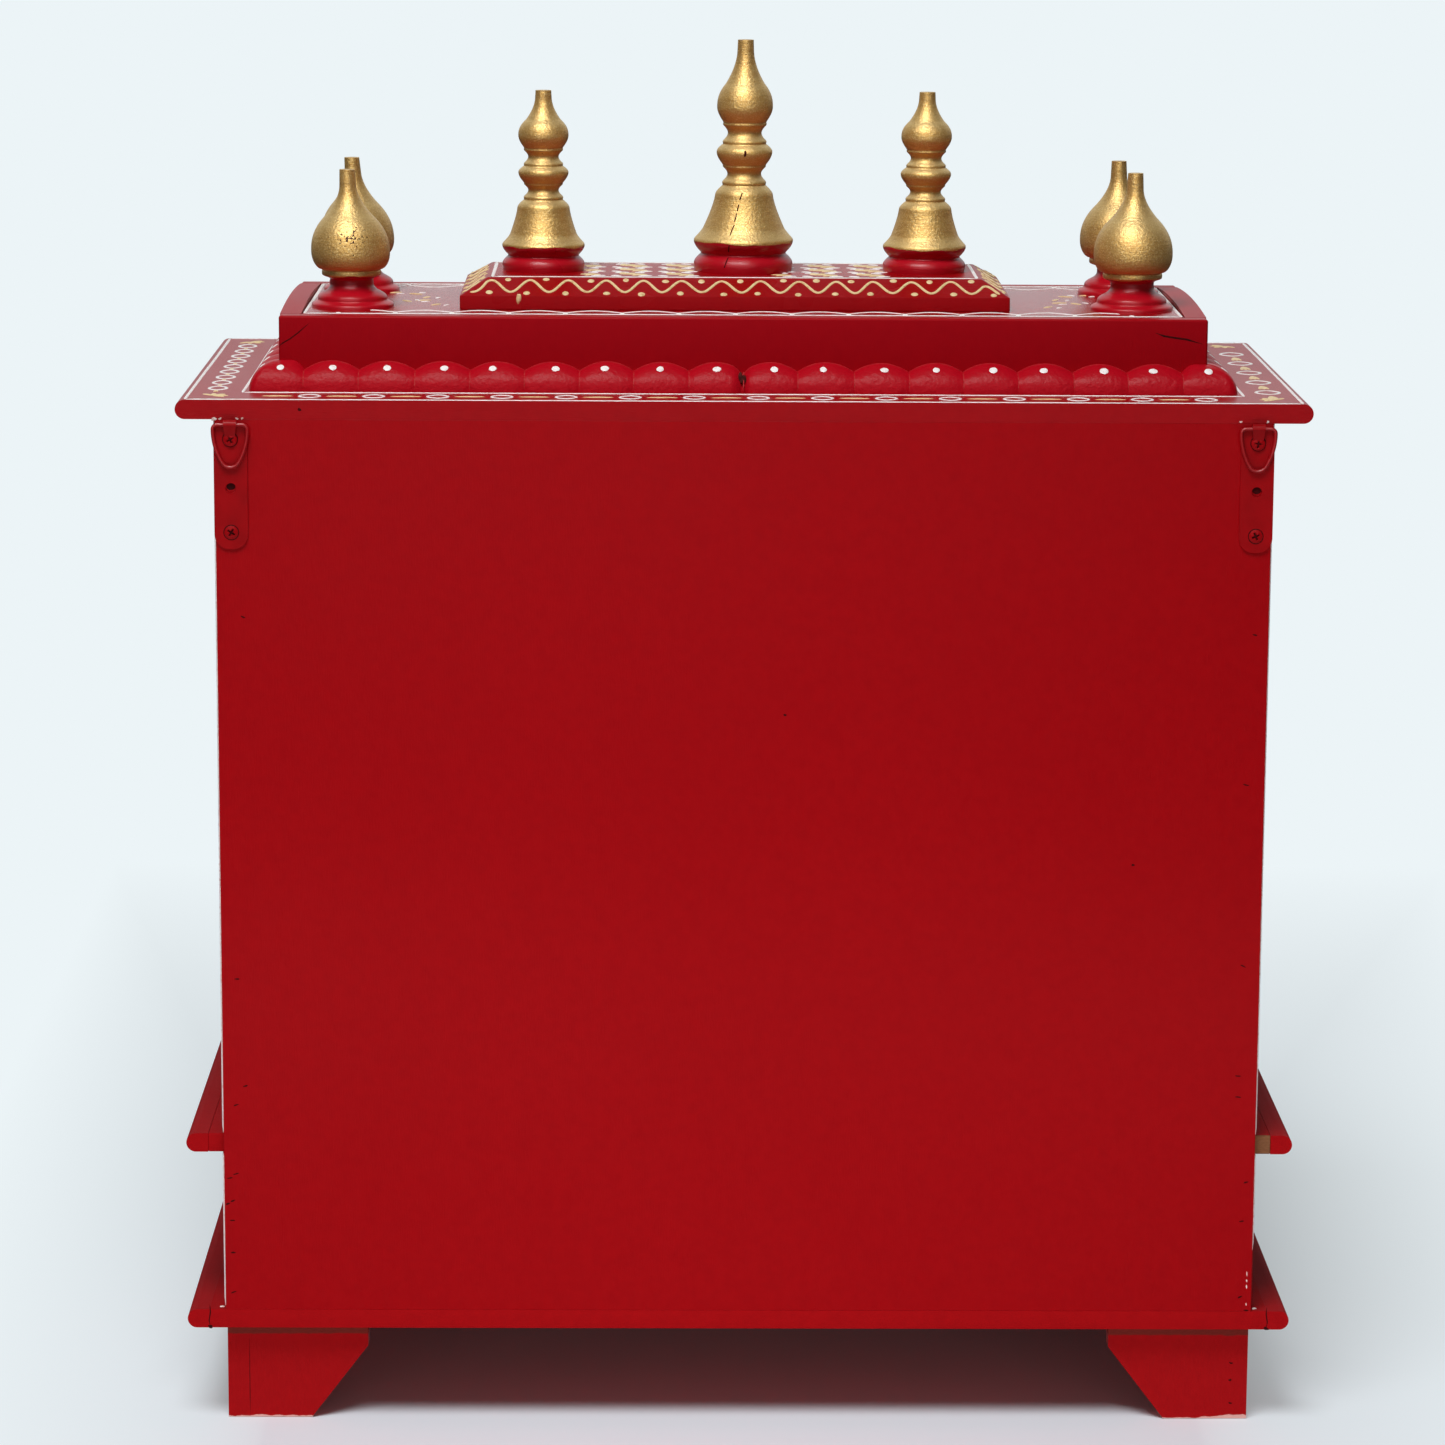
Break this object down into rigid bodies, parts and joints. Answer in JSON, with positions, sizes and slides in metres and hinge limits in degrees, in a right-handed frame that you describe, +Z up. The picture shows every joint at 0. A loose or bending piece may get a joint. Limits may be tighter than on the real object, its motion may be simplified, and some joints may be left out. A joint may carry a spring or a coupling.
{
  "type": "wall-mounted pooja mandir",
  "caption": "Red painted wooden home temple with an open shrine bay, drawers, bracket feet, carved petal canopy, gold turned finials and steel hanging rings on its back.",
  "frame": {"origin": "middle of the whole object's footprint, on the floor under the feet", "axes": "+Z up; -Y out of the open front; +Y out of the back panel towards the wall; +X to the right seen from the front"},
  "size_m": [0.61, 0.3012, 0.7556],
  "materials": {
    "red_painted_wood": "semi-gloss red paint",
    "gold_painted_wood": "metallic gold paint",
    "bare_wood": "bare",
    "painted_steel": "red paint over steel",
    "brass_knob": "polished"
  },
  "bodies": {
    "cabinet": {"foot_boards_back": "red_painted_wood", "foot_boards_front": "red_painted_wood", "foot_boards_side": "red_painted_wood", "base_board": "red_painted_wood", "base_edging_left": "red_painted_wood", "base_edging_right": "red_painted_wood", "base_edging_front": "red_painted_wood", "shelf_board": "red_painted_wood", "shelf_edging_left": "red_painted_wood", "shelf_edging_right": "red_painted_wood", "shelf_edging_front": "red_painted_wood", "back_panel": "red_painted_wood", "lower_wall_left": "red_painted_wood", "lower_wall_right": "red_painted_wood", "upper_wall_left": "red_painted_wood", "upper_wall_right": "red_painted_wood", "drawer_divider": "red_painted_wood", "drawer_front_left": "red_painted_wood", "drawer_front_right": "red_painted_wood", "drawer_box_left": "bare_wood", "drawer_box_right": "bare_wood", "drawer_knobs": "brass_knob", "front_post_left": "red_painted_wood", "front_post_right": "red_painted_wood", "front_arch": "red_painted_wood", "cornice_board": "red_painted_wood", "petals_back": "red_painted_wood", "petals_front": "red_painted_wood", "petals_left": "red_painted_wood", "petals_right": "red_painted_wood", "canopy_board_back": "red_painted_wood", "canopy_board_front": "red_painted_wood", "canopy_board_left": "red_painted_wood", "canopy_board_right": "red_painted_wood", "canopy_deck": "red_painted_wood", "crown_block": "red_painted_wood", "onion_back_left": "gold_painted_wood", "onion_back_right": "gold_painted_wood", "onion_front_left": "gold_painted_wood", "onion_front_right": "gold_painted_wood", "kalash_left": "gold_painted_wood", "kalash_middle": "gold_painted_wood", "kalash_right": "gold_painted_wood", "hanger_left": "painted_steel", "hanger_right": "painted_steel"},
    "ring_left": {"ring_left": "painted_steel"},
    "ring_right": {"ring_right": "painted_steel"}
  },
  "joints": [
    {"name": "ring_left_swing", "type": "hinge", "parent": "cabinet", "child": "ring_left", "pos_m": [-0.2754, 0.148, 0.5579], "axis": [1, 0, 0], "range_deg": [0, 180]},
    {"name": "ring_right_swing", "type": "hinge", "parent": "cabinet", "child": "ring_right", "pos_m": [0.2754, 0.148, 0.5579], "axis": [1, 0, 0], "range_deg": [0, 180]}
  ]
}
